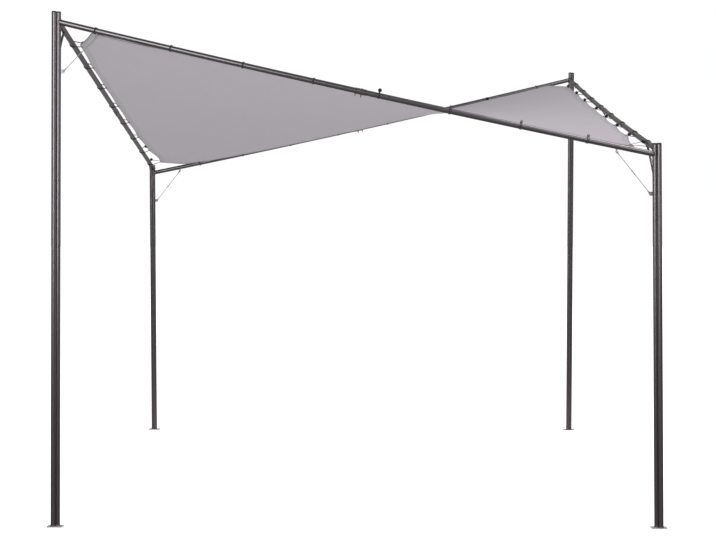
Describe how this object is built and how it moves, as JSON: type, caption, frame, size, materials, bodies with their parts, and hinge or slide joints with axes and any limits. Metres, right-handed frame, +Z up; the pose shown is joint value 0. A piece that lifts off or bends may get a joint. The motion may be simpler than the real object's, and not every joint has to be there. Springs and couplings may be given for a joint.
{
  "type": "shade sail pergola",
  "caption": "Open square pergola: leaning paired-tube posts at alternating heights, sloping round beams and a taut saddle-shaped shade sail laced between them, on small foot plates.",
  "frame": {"origin": "on the ground at the middle of the plan, midway between the four foot plates", "axes": "+Z up, the front (the side the picture looks at) towards -Y, +X to the right of that view, tall posts at front left and back right"},
  "size_m": [3.09, 3.13, 2.57],
  "materials": {
    "frame_paint": "dark anthracite powder coat on steel tube, satin",
    "foot_zinc": "dull light grey metal plate, taken to be galvanized",
    "post_cap": "moulded plug, matte",
    "stay_wire": "galvanized wire and small fittings",
    "sail_cloth": "knitted shade cloth, warm grey, matte",
    "lacing_cord": "woven elastic cord and black toggle balls, matte"
  },
  "bodies": {
    "root": {"foot_plate_front_left": "foot_zinc", "foot_plate_front_right": "foot_zinc", "foot_plate_back_left": "foot_zinc", "foot_plate_back_right": "foot_zinc", "post_front_left_outer_tube": "frame_paint", "post_front_left_inner_tube": "frame_paint", "post_front_right_outer_tube": "frame_paint", "post_front_right_inner_tube": "frame_paint", "post_back_left_outer_tube": "frame_paint", "post_back_left_inner_tube": "frame_paint", "post_back_right_outer_tube": "frame_paint", "post_back_right_inner_tube": "frame_paint", "post_cap_front_left": "post_cap", "post_cap_front_right": "post_cap", "post_cap_back_left": "post_cap", "post_cap_back_right": "post_cap", "beam_front_high": "frame_paint", "beam_front_low": "frame_paint", "beam_sleeve_front": "frame_paint", "beam_back_high": "frame_paint", "beam_back_low": "frame_paint", "beam_sleeve_back": "frame_paint", "beam_left_high": "frame_paint", "beam_left_low": "frame_paint", "beam_sleeve_left": "frame_paint", "beam_right_high": "frame_paint", "beam_right_low": "frame_paint", "beam_sleeve_right": "frame_paint", "brace_front_left": "frame_paint", "brace_front_right": "frame_paint", "brace_back_left": "frame_paint", "brace_back_right": "frame_paint", "stay_front_left": "stay_wire", "stay_front_right": "stay_wire", "stay_back_left": "stay_wire", "stay_back_right": "stay_wire", "sail": "sail_cloth", "lacing_front": "lacing_cord", "lacing_back": "lacing_cord", "lacing_left": "lacing_cord", "lacing_right": "lacing_cord"}
  },
  "joints": []
}
